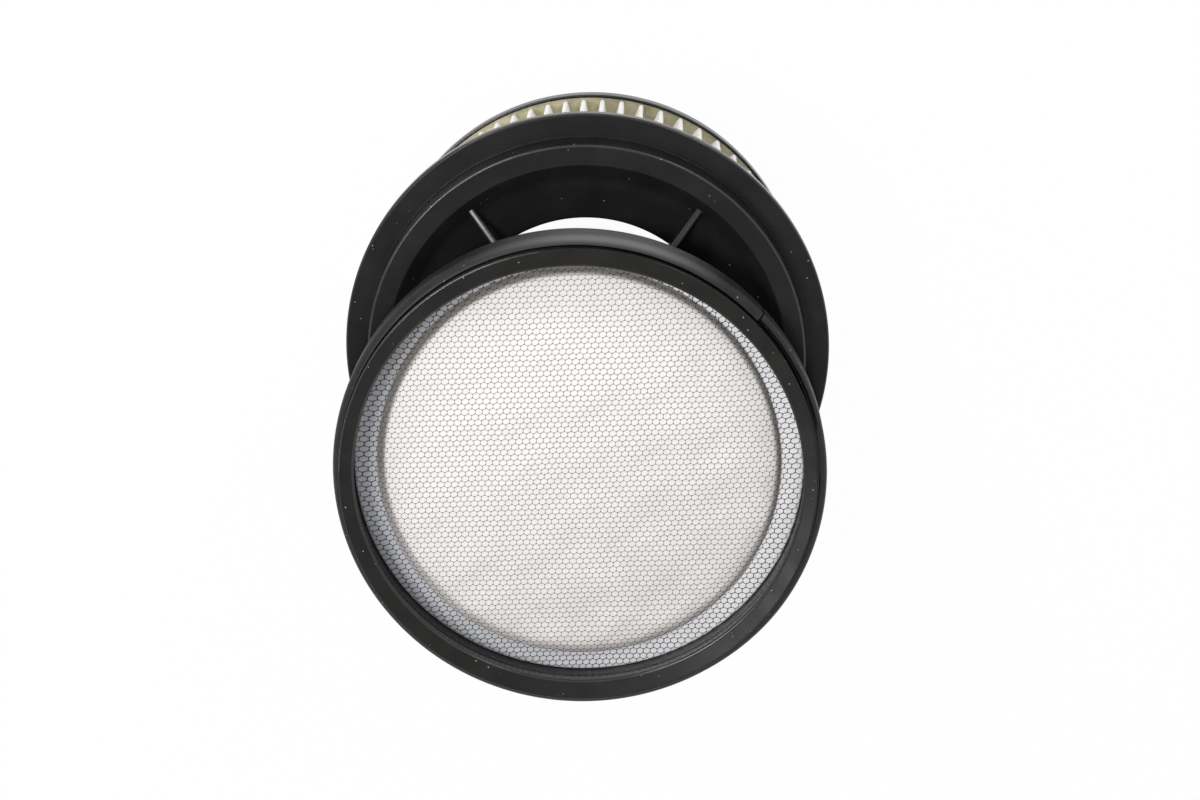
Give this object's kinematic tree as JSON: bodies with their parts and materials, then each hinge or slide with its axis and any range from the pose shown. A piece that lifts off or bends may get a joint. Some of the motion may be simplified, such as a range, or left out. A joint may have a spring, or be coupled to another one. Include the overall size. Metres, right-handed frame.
{
  "type": "vacuum cleaner filter",
  "caption": "Round two-stage vacuum filter: a pleated ring in black end frames with a ribbed funnel inlet, and a netted cotton pre-filter cap resting askew on its lip.",
  "frame": {"origin": "on the body's axis, in the plane of the rear ring's face that the filter stands on", "axes": "+Z along the body's axis towards the flange and the cap; the cap is slid towards +Y"},
  "size_m": [0.0915, 0.1106, 0.0552],
  "materials": {
    "frame_plastic": "satin moulded black plastic with fine dust",
    "cap_plastic": "satin moulded black plastic with fine dust",
    "seal_rubber": "soft matte black rubber",
    "filter_paper": "off-white pleated filter paper",
    "potting": "khaki set glue",
    "cotton": "white puffed cotton",
    "net_thread": "dark grey knitted net"
  },
  "bodies": {
    "root": {"front_frame": "frame_plastic", "front_potting": "potting", "rear_ring": "frame_plastic", "rear_potting": "potting", "pleated_media": "filter_paper", "support_core": "frame_plastic", "cap_frame": "cap_plastic", "cap_seal": "seal_rubber", "cap_pad": "cotton", "cap_net": "net_thread"}
  },
  "joints": []
}
